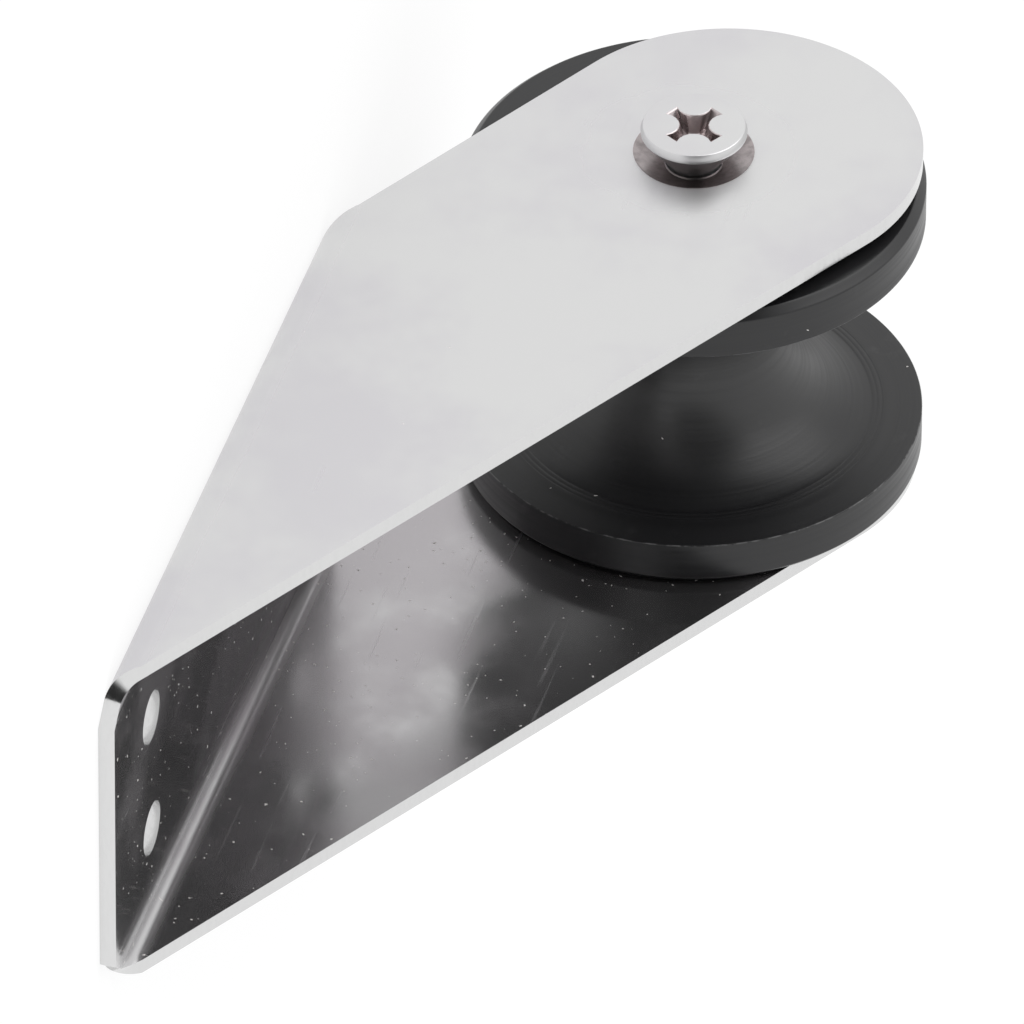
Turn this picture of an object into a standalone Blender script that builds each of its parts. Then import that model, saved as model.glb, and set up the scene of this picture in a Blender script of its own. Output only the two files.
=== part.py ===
"""Bow roller: a folded stainless bracket that carries a nylon spool roller on a bolted axle.

Frame: the base web lies on the deck. +X points forward to the roller, +Y is the side of the
screw's head, +Z is up, and the origin is the centre of the underside of the web.
"""

import math

import bmesh
import bpy
from mathutils import Matrix, Vector

# Bracket sheet
SHEET = 0.0025
WIDTH = 0.058
BASE_LENGTH = 0.1135
CHEEK_WIDTH = 0.0575
UPPER_ANGLE = math.radians(30.0)
LOWER_ANGLE = math.radians(29.3)
ARM_REACH = 0.0497
REAR_CORNER = 0.0223
BEND_RADIUS = 0.0042
BEND_NEUTRAL = 0.0028
BEND_STEPS = 6
NOSE_STEPS = 40
DECK_HOLE_RADIUS = 0.00425
DECK_HOLE_Y = 0.0105
DECK_HOLE_INSET = 0.0185
HOLE_STEPS = 32

# Shallow dishes pressed into both cheeks round the axle
AXLE_BACK = 0.0049
AXLE_DROP = 0.003
DISH_RADIUS = 0.0091
DISH_DEPTH = 0.0018
AXLE_HOLE = 0.0043

# Roller
FLANGE_RADIUS = 0.0349
ROLLER_HALF = 0.0254
ROLLER_SHIFT = -0.0008
COUNTERBORE_RADIUS = 0.0105
COUNTERBORE_DEPTH = 0.0019
RIM_WIDTH = 0.0074
RIM_CHAMFER = 0.0012
CREASE_RADIUS = 0.0267
CREASE_DEPTH = 0.0004
WAIST_RADIUS = 0.014
GROOVE_STEPS = 12
ROLLER_BORE = 0.0063

# Axle
GAP = 0.0003
SHANK_RADIUS = 0.004
SCREW_LENGTH = 0.0695
SCREW_END_CHAMFER = 0.0008
HEAD_RADIUS = 0.008
HEAD_FLAT = 0.0075
HEAD_PROUD = 0.005
HEAD_BEVEL = 0.00095
HEAD_LAND = 0.0004
RECESS_REACH = 0.0045
RECESS_WIDTH = 0.002
RECESS_DEPTH = 0.0035
RECESS_TAPER = 0.45
RECESS_NARROWING = 0.7
RECESS_CLEAR = 0.0002
SLEEVE_RADIUS = 0.006
WASHER_RADIUS = 0.008
WASHER_THICK = 0.0016
NUT_FLATS = 0.013
NUT_HEIGHT = 0.008
NUT_HEX_HEIGHT = 0.006
NUT_FACE_CHAMFER = 0.0006
NUT_SHOULDER_CHAMFER = 0.0008
NUT_COLLAR_CHAMFER = 0.0005
NUT_TURNED_EXTRA = 0.0002
NUT_COLLAR = 0.0062
NUT_POCKET = 0.0056
NUT_LIP = 0.0050
NUT_LIP_THICK = 0.0004
INSERT_RADIUS = 0.0053
INSERT_THICK = 0.0018
TURN_STEPS = 64
SMALL_TURN_STEPS = 40

# Places worked out from the dimensions above
HALF = WIDTH / 2
REAR = -BASE_LENGTH / 2
ARM = Vector((math.cos(UPPER_ANGLE), math.sin(UPPER_ANGLE)))
DOWN = Vector((math.sin(UPPER_ANGLE), -math.cos(UPPER_ANGLE)))
LOWER = Vector((math.cos(LOWER_ANGLE), math.sin(LOWER_ANGLE)))
LOWER_NORMAL = Vector((-math.sin(LOWER_ANGLE), math.cos(LOWER_ANGLE)))
WEB_FLAT = HALF - BEND_RADIUS
BEND_LENGTH = BEND_NEUTRAL * math.pi / 2
FOLD_END = WEB_FLAT + BEND_LENGTH
LOWER_START = Vector((BASE_LENGTH / 2 + BEND_LENGTH / math.tan(LOWER_ANGLE), BEND_RADIUS))
NOSE = LOWER_START + LOWER * ARM_REACH + LOWER_NORMAL * CHEEK_WIDTH / 2
AXLE = NOSE - ARM * AXLE_BACK + DOWN * AXLE_DROP
DISH_FACE = HALF - DISH_DEPTH
DISH_SLOPE = DISH_DEPTH / (DISH_RADIUS - AXLE_HOLE)
HEAD_TOP = HALF + HEAD_PROUD
SCREW_SEAT = DISH_FACE + GAP
WASHER_FACE = -HALF + DISH_SLOPE * (DISH_RADIUS - WASHER_RADIUS) - GAP
AXLE_TURN = Matrix.Rotation(math.radians(-90.0), 4, "X")
AXLE_PLACE = Matrix.Translation((AXLE.x, 0.0, AXLE.y)) @ AXLE_TURN


def clear_scene():
    for old in list(bpy.data.objects):
        bpy.data.objects.remove(old, do_unlink=True)


def make_collection(name):
    collection = bpy.data.collections.new(name)
    bpy.context.scene.collection.children.link(collection)
    return collection


def make_material(name, colour, roughness, metallic):
    material = bpy.data.materials.new(name)
    material.use_nodes = True
    shader = material.node_tree.nodes["Principled BSDF"]
    shader.inputs["Base Color"].default_value = (*colour, 1.0)
    shader.inputs["Roughness"].default_value = roughness
    shader.inputs["Metallic"].default_value = metallic
    return material


def add_object(name, mesh, material, collection, place=None):
    part = bpy.data.objects.new(name, mesh)
    part.data.materials.clear()
    part.data.materials.append(material)
    if place is not None:
        part.matrix_world = place
    collection.objects.link(part)
    return part


def arc_points(centre, radius, start, stop, steps):
    """Points on an arc about centre, both ends included."""
    points = []
    for step in range(steps + 1):
        angle = start + (stop - start) * step / steps
        points.append(centre + Vector((math.cos(angle), math.sin(angle))) * radius)
    return points


def flat_side(point):
    """A side-view point (x, height) laid out flat beside the web."""
    return Vector((point.x, point.y + FOLD_END - BEND_RADIUS))


def cheek_outline():
    """Flat outline from the middle of the web's front end round one cheek to its rear end."""
    quarter = math.pi / 2
    nose = arc_points(NOSE, CHEEK_WIDTH / 2, LOWER_ANGLE - quarter, UPPER_ANGLE + quarter, NOSE_STEPS)
    outline = [Vector((BASE_LENGTH / 2, WEB_FLAT))]
    outline += [flat_side(point) for point in nose]
    upper_end = outline[-1]
    bend_x = upper_end.x - (upper_end.y - FOLD_END) / math.tan(UPPER_ANGLE)
    outline.append(Vector((bend_x, FOLD_END)))
    outline.append(Vector((REAR, REAR_CORNER)))
    return outline


def add_loop(curve, points):
    spline = curve.splines.new("POLY")
    spline.points.add(len(points) - 1)
    for slot, point in zip(spline.points, points):
        slot.co = (point.x, point.y, 0.0, 1.0)
    spline.use_cyclic_u = True


def circle(centre, radius, steps):
    return arc_points(centre, radius, 0.0, 2 * math.pi * (steps - 1) / steps, steps - 1)


def mirrored(points):
    return [Vector((point.x, -point.y)) for point in reversed(points)]


def flat_blank(collection):
    """The sheet before folding: a filled outline with the deck-bolt and axle openings."""
    curve = bpy.data.curves.new("bracket_blank", "CURVE")
    curve.dimensions = "2D"
    curve.fill_mode = "BOTH"
    outline = cheek_outline()
    add_loop(curve, outline + mirrored(outline))
    for end in (-1, 1):
        for side in (-1, 1):
            centre = Vector((end * (BASE_LENGTH / 2 - DECK_HOLE_INSET), side * DECK_HOLE_Y))
            add_loop(curve, circle(centre, DECK_HOLE_RADIUS, HOLE_STEPS))
    dish = circle(flat_side(AXLE), DISH_RADIUS, HOLE_STEPS)
    add_loop(curve, dish)
    add_loop(curve, mirrored(dish))
    blank = bpy.data.objects.new("bracket_blank", curve)
    collection.objects.link(blank)
    evaluated = blank.evaluated_get(bpy.context.evaluated_depsgraph_get())
    mesh = bpy.data.meshes.new_from_object(evaluated)
    bpy.data.objects.remove(blank, do_unlink=True)
    bpy.data.curves.remove(curve)
    return mesh


def folded(point):
    """The place of a flat point after both cheeks are folded up."""
    side = math.copysign(1.0, point.y)
    across = abs(point.y)
    if across <= WEB_FLAT:
        return Vector((point.x, point.y, 0.0))
    if across >= FOLD_END:
        return Vector((point.x, side * HALF, across - FOLD_END + BEND_RADIUS))
    angle = (across - WEB_FLAT) / BEND_LENGTH * math.pi / 2
    out = WEB_FLAT + BEND_RADIUS * math.sin(angle)
    return Vector((point.x, side * out, BEND_RADIUS * (1 - math.cos(angle))))


def press_dish(bm, side):
    """Draw the axle opening of one cheek inwards into a shallow cone that ends at the axle hole."""
    centre = Vector((AXLE.x, side * HALF, AXLE.y))
    rim = [edge for edge in bm.edges if edge.is_boundary and near_axle(edge, centre)]
    made = bmesh.ops.extrude_edge_only(bm, edges=rim)["geom"]
    verts = [item for item in made if isinstance(item, bmesh.types.BMVert)]
    scale = AXLE_HOLE / DISH_RADIUS
    about = Matrix.Translation(-centre)
    bmesh.ops.scale(bm, vec=(scale, 1.0, scale), space=about, verts=verts)
    bmesh.ops.translate(bm, vec=(0.0, -side * DISH_DEPTH, 0.0), verts=verts)


def near_axle(edge, centre):
    middle = (edge.verts[0].co + edge.verts[1].co) / 2
    return (middle - centre).length < CHEEK_WIDTH / 4


def build_bracket(collection, steel):
    mesh = flat_blank(collection)
    bm = bmesh.new()
    bm.from_mesh(mesh)
    bmesh.ops.remove_doubles(bm, verts=bm.verts, dist=1e-6)
    for step in range(BEND_STEPS + 1):
        for side in (-1, 1):
            line = (0.0, side * (WEB_FLAT + BEND_LENGTH * step / BEND_STEPS), 0.0)
            geometry = bm.verts[:] + bm.edges[:] + bm.faces[:]
            bmesh.ops.bisect_plane(bm, geom=geometry, plane_co=line, plane_no=(0.0, 1.0, 0.0), dist=1e-6)
    for vert in bm.verts:
        vert.co = folded(vert.co)
    for side in (-1, 1):
        press_dish(bm, side)
    bmesh.ops.recalc_face_normals(bm, faces=bm.faces)
    web = min(bm.faces, key=lambda face: face.calc_center_median().z)
    if web.normal.z > 0:
        bmesh.ops.reverse_faces(bm, faces=bm.faces)
    bm.to_mesh(mesh)
    bm.free()
    mesh.name = "bracket"
    bracket = add_object("bracket", mesh, steel, collection)
    shell = bracket.modifiers.new("Sheet", "SOLIDIFY")
    shell.thickness = SHEET
    shell.offset = -1.0
    shell.use_even_offset = True
    return bracket


def turned(name, profile, steps, material, collection, place=AXLE_PLACE, closed=True):
    """A solid of revolution about the axle from (radius, height) points, run down the outside."""
    bm = bmesh.new()
    verts = [bm.verts.new((radius, 0.0, height)) for radius, height in profile]
    for first, second in zip(verts, verts[1:]):
        bm.edges.new((first, second))
    if closed:
        bm.edges.new((verts[-1], verts[0]))
    mesh = bpy.data.meshes.new(name)
    bm.to_mesh(mesh)
    bm.free()
    part = add_object(name, mesh, material, collection, place)
    spin = part.modifiers.new("Turn", "SCREW")
    spin.steps = steps
    spin.render_steps = steps
    spin.use_merge_vertices = True
    spin.merge_threshold = 0.00001
    spin.use_smooth_shade = True
    return part


def groove():
    """Half of the roller's groove from the crease to the crease, an arc tangent at the waist."""
    depth = ROLLER_HALF - RIM_WIDTH - CREASE_DEPTH
    rise = CREASE_RADIUS - WAIST_RADIUS
    radius = (rise * rise + depth * depth) / (2 * rise)
    sweep = math.asin(depth / radius)
    points = []
    for step in range(GROOVE_STEPS + 1):
        angle = sweep * (1 - 2 * step / GROOVE_STEPS)
        points.append((WAIST_RADIUS + radius * (1 - math.cos(angle)), radius * math.sin(angle)))
    return points


def build_roller(collection, nylon):
    rim = ROLLER_HALF - RIM_WIDTH
    top = [
        (ROLLER_BORE, ROLLER_HALF - COUNTERBORE_DEPTH),
        (COUNTERBORE_RADIUS, ROLLER_HALF - COUNTERBORE_DEPTH),
        (COUNTERBORE_RADIUS, ROLLER_HALF),
        (FLANGE_RADIUS - RIM_CHAMFER, ROLLER_HALF),
        (FLANGE_RADIUS, ROLLER_HALF - RIM_CHAMFER),
        (FLANGE_RADIUS, rim),
    ]
    bottom = [(radius, -height) for radius, height in reversed(top)]
    place = AXLE_PLACE @ Matrix.Translation((0.0, 0.0, ROLLER_SHIFT))
    return turned("roller", top + groove() + bottom, TURN_STEPS, nylon, collection, place)


def build_sleeve(collection, steel):
    length = DISH_FACE - SHEET - GAP
    inner = SHANK_RADIUS + GAP
    profile = [(inner, length), (SLEEVE_RADIUS, length), (SLEEVE_RADIUS, -length), (inner, -length)]
    return turned("axle_sleeve", profile, SMALL_TURN_STEPS, steel, collection)


def recess_cutter(turn, cutters):
    """One tapered wing pair of the cross recess, along the arm or across it."""
    bm = bmesh.new()
    bmesh.ops.create_cube(bm, size=1.0)
    height = RECESS_DEPTH + RECESS_CLEAR
    bmesh.ops.scale(bm, vec=(2 * RECESS_REACH, RECESS_WIDTH, height), verts=bm.verts)
    bmesh.ops.translate(bm, vec=(0.0, 0.0, RECESS_CLEAR - height / 2), verts=bm.verts)
    low = [vert for vert in bm.verts if vert.co.z < 0]
    bmesh.ops.scale(bm, vec=(RECESS_TAPER, RECESS_NARROWING, 1.0), verts=low)
    mesh = bpy.data.meshes.new("recess_cutter")
    bm.to_mesh(mesh)
    bm.free()
    cutter = bpy.data.objects.new("recess_cutter", mesh)
    lift = Matrix.Translation((0.0, 0.0, HEAD_TOP))
    cutter.matrix_world = AXLE_PLACE @ lift @ Matrix.Rotation(UPPER_ANGLE + turn, 4, "Z")
    cutter.hide_render = True
    cutter.display_type = "WIRE"
    cutters.objects.link(cutter)
    return cutter


def build_screw(collection, cutters, steel):
    end = SCREW_SEAT - SCREW_LENGTH
    profile = [
        (0.0, HEAD_TOP),
        (HEAD_FLAT, HEAD_TOP),
        (HEAD_RADIUS, HEAD_TOP - HEAD_BEVEL),
        (HEAD_RADIUS, HEAD_TOP - HEAD_BEVEL - HEAD_LAND),
        (SHANK_RADIUS, SCREW_SEAT),
        (SHANK_RADIUS, end + SCREW_END_CHAMFER),
        (SHANK_RADIUS - SCREW_END_CHAMFER, end),
        (0.0, end),
    ]
    screw = turned("axle_screw", profile, SMALL_TURN_STEPS, steel, collection, closed=False)
    for turn in (0.0, math.pi / 2):
        cut = screw.modifiers.new("Recess", "BOOLEAN")
        cut.operation = "DIFFERENCE"
        cut.object = recess_cutter(turn, cutters)
    return screw


def build_washer(collection, steel):
    back = WASHER_FACE - WASHER_THICK
    inner = SHANK_RADIUS + GAP
    profile = [(inner, WASHER_FACE), (WASHER_RADIUS, WASHER_FACE), (WASHER_RADIUS, back), (inner, back)]
    return turned("nut_washer", profile, SMALL_TURN_STEPS, steel, collection)


def nut_face():
    return WASHER_FACE - WASHER_THICK - GAP


def build_nut(collection, cutters, steel):
    """Lock nut: a chamfered hexagon with a round collar that holds the locking ring."""
    face = nut_face()
    back = face - NUT_HEIGHT
    corner = NUT_FLATS / 2 / math.cos(math.pi / 6)
    blank = corner + NUT_TURNED_EXTRA
    bore = SHANK_RADIUS + GAP
    pocket_back = back + NUT_LIP_THICK
    pocket_face = pocket_back + INSERT_THICK + 2 * GAP
    profile = [
        (bore, face),
        (NUT_FLATS / 2, face),
        (blank, face - NUT_FACE_CHAMFER),
        (blank, face - NUT_HEX_HEIGHT + NUT_SHOULDER_CHAMFER),
        (NUT_COLLAR, face - NUT_HEX_HEIGHT),
        (NUT_COLLAR, back + NUT_COLLAR_CHAMFER),
        (NUT_COLLAR - NUT_COLLAR_CHAMFER, back),
        (NUT_LIP, back),
        (NUT_LIP, pocket_back),
        (NUT_POCKET, pocket_back),
        (NUT_POCKET, pocket_face),
        (bore, pocket_face),
    ]
    nut = turned("lock_nut", profile, SMALL_TURN_STEPS, steel, collection)
    bm = bmesh.new()
    length = NUT_HEIGHT * 2
    bmesh.ops.create_cone(bm, cap_ends=True, segments=6, radius1=corner, radius2=corner, depth=length)
    mesh = bpy.data.meshes.new("nut_hexagon")
    bm.to_mesh(mesh)
    bm.free()
    hexagon = bpy.data.objects.new("nut_hexagon", mesh)
    hexagon.matrix_world = AXLE_PLACE @ Matrix.Translation((0.0, 0.0, (face + back) / 2))
    hexagon.hide_render = True
    hexagon.display_type = "WIRE"
    cutters.objects.link(hexagon)
    trim = nut.modifiers.new("Hexagon", "BOOLEAN")
    trim.operation = "INTERSECT"
    trim.object = hexagon
    return nut


def build_insert(collection, nylon):
    back = nut_face() - NUT_HEIGHT + NUT_LIP_THICK + GAP
    face = back + INSERT_THICK
    inner = SHANK_RADIUS + GAP
    profile = [(inner, face), (INSERT_RADIUS, face), (INSERT_RADIUS, back), (inner, back)]
    return turned("nut_insert", profile, SMALL_TURN_STEPS, nylon, collection)


def main():
    clear_scene()
    collection = make_collection("bow_roller")
    cutters = make_collection("bow_roller_cutters")
    polished = make_material("polished_steel", (0.68, 0.68, 0.69), 0.08, 1.0)
    plain = make_material("plain_steel", (0.62, 0.62, 0.63), 0.25, 1.0)
    black = make_material("black_nylon", (0.035, 0.035, 0.037), 0.45, 0.0)
    white = make_material("white_nylon", (0.75, 0.76, 0.78), 0.5, 0.0)
    build_bracket(collection, polished)
    build_roller(collection, black)
    build_sleeve(collection, plain)
    build_screw(collection, cutters, polished)
    build_washer(collection, plain)
    build_nut(collection, cutters, plain)
    build_insert(collection, white)
    bpy.context.view_layer.update()


main()
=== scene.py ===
"""Bow roller: the finished look of a folded stainless bracket with a nylon spool roller.

Laid out as an add-on: sizes and colours are properties, every piece has its own operator, and
main() builds the whole fitting in order around the fixed frame.
"""

import math

import bmesh
import bpy
from mathutils import Matrix, Vector


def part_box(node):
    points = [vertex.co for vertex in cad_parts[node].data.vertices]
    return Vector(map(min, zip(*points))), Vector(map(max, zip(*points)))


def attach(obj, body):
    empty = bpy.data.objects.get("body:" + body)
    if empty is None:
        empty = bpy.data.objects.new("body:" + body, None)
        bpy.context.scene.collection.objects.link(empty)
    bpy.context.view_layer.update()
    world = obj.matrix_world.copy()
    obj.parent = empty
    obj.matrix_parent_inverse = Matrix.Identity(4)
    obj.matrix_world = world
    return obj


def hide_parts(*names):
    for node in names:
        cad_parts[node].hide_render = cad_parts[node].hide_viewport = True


bl_info = {
    "name": "Bow Roller Builder",
    "version": (1, 0, 0),
    "blender": (4, 5, 0),
    "location": "View3D > Sidebar > Bow Roller",
    "description": "Builds a stainless bow roller with its nylon roller, axle and studio",
    "category": "Object",
}

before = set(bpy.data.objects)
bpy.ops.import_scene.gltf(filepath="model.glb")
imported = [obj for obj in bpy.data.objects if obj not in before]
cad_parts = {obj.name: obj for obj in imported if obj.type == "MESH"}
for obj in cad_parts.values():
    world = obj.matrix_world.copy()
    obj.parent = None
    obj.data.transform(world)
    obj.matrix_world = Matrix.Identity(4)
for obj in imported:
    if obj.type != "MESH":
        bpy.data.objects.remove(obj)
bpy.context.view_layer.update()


def corners(node):
    """The lowest and the highest corner of one node's box."""
    low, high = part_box(node)
    return Vector(low), Vector(high)


BRACKET_LOW, BRACKET_HIGH = corners("bracket")
ROLLER_LOW, ROLLER_HIGH = corners("roller")
SCREW_LOW, SCREW_HIGH = corners("axle_screw")
AXLE = (ROLLER_LOW + ROLLER_HIGH) / 2
ROLLER_MIDDLE = AXLE.y
ROLLER_HALF = ROLLER_HIGH.y - ROLLER_MIDDLE
ROLLER_REACH = ROLLER_HIGH.x - AXLE.x
AXLE.y = 0.0
ALONG_AXLE = Vector((0.0, 1.0, 0.0))
CLEARANCE = 0.0003
MERGE = 1e-6
FINE_ROUND = 0.00012
SHARP_CORNER = math.radians(35.0)

# The folds: their outside radius and how softly their duller band fades out
BEND_RADIUS = 0.0042
BEND_SIDE = BRACKET_HIGH.y - BEND_RADIUS
BAND_FADE = 0.0012
BAND_ROUGHNESS = 0.18

# Finish of each polished sheet: roughness, share of thin film towards rear and nose, and ripple
OUTSIDE_FINISH = ((0.10, 0.17), (0.02, 0.02), 0.2)
INSIDE_FINISH = ((0.09, 0.18), (0.05, 0.17), 0.06)
SCREW_FINISH = ((0.05, 0.11), (0.0, 0.0), 0.15)
OUTSIDE_DUST, INSIDE_DUST, SCREW_DUST = 0.004, 0.26, 0.0
FILM_REAR, FILM_NOSE = 0.05, 0.115
FILM_ROUGHNESS = 1.2
SCRATCH_ROUGHNESS, SPECK_ROUGHNESS = 0.08, 0.6
DULL_OUTER, DULL_INNER, DULL_ROUGHNESS = 0.022, 0.010, 0.26
RIPPLE_HEIGHT = 0.0002

# Heading of the soft box from the roller
BOX_HEADING = (0.17, 0.80, 0.58)

# Finishes of the outside, the rim and the inside, first of the sheet, then of its dishes
SHEET_FINISHES = ("polished_outside", "cut_edge", "polished_inside")
BRACKET_FINISHES = SHEET_FINISHES + ("dish_steel_painted_shade", "cut_edge", "dish_steel_painted_shade")
DISH_SLOT = 3
FULL_TURN = 2 * math.pi


def length(name, default, description):
    return bpy.props.FloatProperty(
        name=name, default=default, min=0.0, precision=5, unit="LENGTH", description=description
    )


def colour(name, default, description):
    return bpy.props.FloatVectorProperty(
        name=name, default=default, min=0.0, max=1.0, size=3, subtype="COLOR", description=description
    )


def count(name, default, description):
    return bpy.props.IntProperty(name=name, default=default, min=3, description=description)


def angle(name, degrees, description):
    return bpy.props.FloatProperty(
        name=name, default=math.radians(degrees), subtype="ANGLE", description=description
    )


def number(name, default, description):
    return bpy.props.FloatProperty(name=name, default=default, description=description)


class BracketSizes(bpy.types.PropertyGroup):
    sheet: length("Sheet", 0.0025, "Thickness of the folded sheet")
    upper_angle: angle("Upper Angle", 30.0, "Rise of the cheeks' upper edge")
    lower_angle: angle("Lower Angle", 29.3, "Rise of the cheeks' lower edge")
    nose_radius: length("Nose Radius", 0.02875, "Radius of the cheeks' round noses")
    rear_corner: length("Rear Corner", 0.0223, "Half the width of the web's rear end")
    bend_radius: length("Bend Radius", BEND_RADIUS, "Outside radius of both folds")
    bend_neutral: length("Neutral Radius", 0.0028, "Radius at which the sheet keeps its length")
    bend_steps: count("Bend Steps", 16, "Facets round each fold")
    nose_steps: count("Nose Steps", 120, "Facets round each nose")
    hole_radius: length("Deck Hole Radius", 0.00425, "Radius of the deck-bolt holes")
    hole_inset: length("Deck Hole Inset", 0.0185, "Hole centre from the end of the web")
    hole_side: length("Deck Hole Side", 0.0105, "Hole centre from the middle of the web")
    dish_radius: length("Dish Radius", 0.0091, "Where the pressed dish starts")
    dish_depth: length("Dish Depth", 0.0018, "Depth of the dish at the axle hole")
    dish_round: length("Dish Round", 0.0004, "Rounding of the dish's rim to each side")
    axle_hole: length("Axle Hole", 0.0043, "Radius of the axle hole")
    edge_round: length("Edge Round", 0.00028, "Rounding of the polished sheet edges")


class RollerSizes(bpy.types.PropertyGroup):
    rim_width: length("Rim Width", 0.0074, "Thickness of each flange at its rim")
    rim_chamfer: length("Rim Chamfer", 0.0012, "Chamfer on the outer corner of each flange")
    counterbore_radius: length("Counterbore Radius", 0.0105, "Radius of the sunk ends")
    counterbore_depth: length("Counterbore Depth", 0.0019, "Depth of the sunk ends")
    crease_radius: length("Crease Radius", 0.0267, "Where the groove meets the flange face")
    crease_depth: length("Crease Depth", 0.0004, "How far the flange face leans inwards")
    waist_radius: length("Waist Radius", 0.014, "Smallest radius of the groove")
    bore_radius: length("Bore Radius", 0.0063, "Radius of the bore over the sleeve")
    ridge_height: length("Ridge Height", 0.00005, "Height of the tool marks")
    edge_round: length("Edge Round", 0.00025, "Rounding of the roller's corners")
    turn_steps: count("Turn Steps", 192, "Facets round the roller")


class AxleSizes(bpy.types.PropertyGroup):
    shank_radius: length("Shank Radius", 0.004, "Radius of the screw's shank")
    head_radius: length("Head Radius", 0.008, "Radius of the screw's head")
    head_flat: length("Head Flat", 0.0075, "Radius of the flat on the head")
    head_bevel: length("Head Bevel", 0.00095, "Height of the bevel round the head")
    head_land: length("Head Land", 0.0004, "Height of the upright band under the bevel")
    head_clearance: length("Head Clearance", 0.0003, "Gap under the head's cone")
    recess_reach: length("Recess Reach", 0.0047, "Reach of each wing of the cross recess")
    recess_tip: length("Recess Tip", 0.001, "Half the width of a wing at its tip")
    recess_depth: length("Recess Depth", 0.0032, "Depth of the cross recess")
    recess_round: length("Recess Round", 0.00024, "Rounding of the recess's mouth")
    thread_pitch: length("Thread Pitch", 0.00125, "Pitch of the screw's thread")
    thread_depth: length("Thread Depth", 0.0006, "Depth of the screw's thread")
    thread_turns: count("Thread Turns", 8, "Turns of thread at the screw's end")
    nut_collar: length("Nut Collar", 0.0062, "Radius of the nut's round collar")
    turn_steps: count("Turn Steps", 96, "Facets round the turned pieces")


class FinishColours(bpy.types.PropertyGroup):
    steel: colour("Polished Steel", (0.68, 0.68, 0.68), "Mirror-polished sheet")
    steel_cloud: colour("Steel Cloud", (0.63, 0.62, 0.64), "Faint clouds of the polish")
    # Painted shade: the inner faces take a darker copy of the polished steel, for the shade between the
    # cheeks.
    inner_steel_painted_shade: colour("Inner Steel", (0.56, 0.555, 0.56), "Less polished inner faces")
    inner_cloud_painted_shade: colour("Inner Cloud", (0.47, 0.45, 0.465), "Clouds on the inner faces")
    # Painted shade: the recess walls take a darker, reddish copy of the screw's steel for the shade inside
    # the cross recess.
    recess_steel_painted_shade: colour("Recess Steel", (0.60, 0.54, 0.54), "Satin walls of the screw's cross recess")
    # Painted shade and painted reflection: the dishes take a dark brownish copy of the steel for the shade
    # under the screw head and the head's dark underside reflected in them.
    dish_steel_painted_shade: colour("Dish Steel", (0.40, 0.36, 0.36), "Duller steel of the pressed dishes")
    cut_steel: colour("Cut Steel", (0.70, 0.70, 0.70), "Satin cut edges of the sheet")
    plain_steel: colour("Plain Steel", (0.60, 0.60, 0.61), "Washer, nut and sleeve")
    nylon: colour("Black Nylon", (0.012, 0.012, 0.013), "Turned black nylon")
    # Also the colour of the painted sheen towards the roller's waist.
    nylon_scuff_and_sheen: colour("Scuffed Nylon", (0.16, 0.16, 0.16), "Burrs and scuffs on the nylon")
    ring: colour("Locking Ring", (0.70, 0.72, 0.74), "Nylon ring in the lock nut")
    dust: colour("Dust", (0.72, 0.70, 0.68), "Specks of dust and lint")
    floor: colour("Floor", (0.95, 0.95, 0.95), "Studio floor")


class StageSizes(bpy.types.PropertyGroup):
    camera_target: bpy.props.FloatVectorProperty(
        name="Camera Target", default=(0.05007, -0.01231, 0.03224), size=3, precision=5,
        subtype="TRANSLATION", unit="LENGTH", description="Point in the middle of the view",
    )
    camera_tilt: angle("Camera Tilt", 38.755, "Camera's angle above the cheeks' plane")
    camera_turn: angle("Camera Turn", -15.745, "Camera's heading in the cheeks' plane")
    camera_roll: angle("Camera Roll", -0.359, "Turn of the picture about the line of sight")
    camera_distance: length("Camera Distance", 3.5859, "Distance from the camera to its target")
    lens: number("Lens", 843.75, "Focal length in millimetres")
    floor_size: length("Floor Size", 14.0, "Length of the floor's side")
    floor_glow: number("Floor Glow", 0.86, "Strength of the pale floor's own light")
    world_light: number("World Light", 1.0, "Soft light all round")
    curtain_light: number("Curtain Light", 0.03, "Light from the dark curtain")
    curtain_inner: angle("Curtain Core", 22.0, "Half the width of the curtain's dark core")
    curtain_outer: angle("Curtain Edge", 44.0, "Half the width of the whole curtain")
    box_size: length("Soft Box Size", 1.4, "Side of the soft box overhead")
    box_distance: length("Soft Box Distance", 1.6, "Distance from the roller to the soft box")
    box_light: number("Soft Box Light", 1.2, "Radiance of the soft box")


def make_object(name, bm, *materials):
    """Turn bm into a mesh object with its materials and link it to the scene."""
    mesh = bpy.data.meshes.new(name)
    bm.to_mesh(mesh)
    bm.free()
    for material in materials:
        mesh.materials.append(bpy.data.materials[material])
    made = bpy.data.objects.new(name, mesh)
    bpy.context.scene.collection.objects.link(made)
    return made


def link_piece(name, bm, materials, body, slot, *nodes):
    """Make a piece from bm, give it its body, and let it stand for CAD nodes. The slot argument is not
    used.
    """
    piece = make_object(name, bm, *materials)
    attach(piece, body)
    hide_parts(*nodes)
    return piece


def smooth_all(bm):
    for face in bm.faces:
        face.smooth = True


def weigh_normals(piece):
    """Let the broad flat faces set the shading, so that reflections stay straight on them."""
    weighted = piece.modifiers.new("Flat Shading", "WEIGHTED_NORMAL")
    weighted.weight = 100
    weighted.thresh = 0.01


def clean(bm):
    bmesh.ops.remove_doubles(bm, verts=bm.verts, dist=MERGE)
    bmesh.ops.recalc_face_normals(bm, faces=bm.faces)
    smooth_all(bm)


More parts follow.
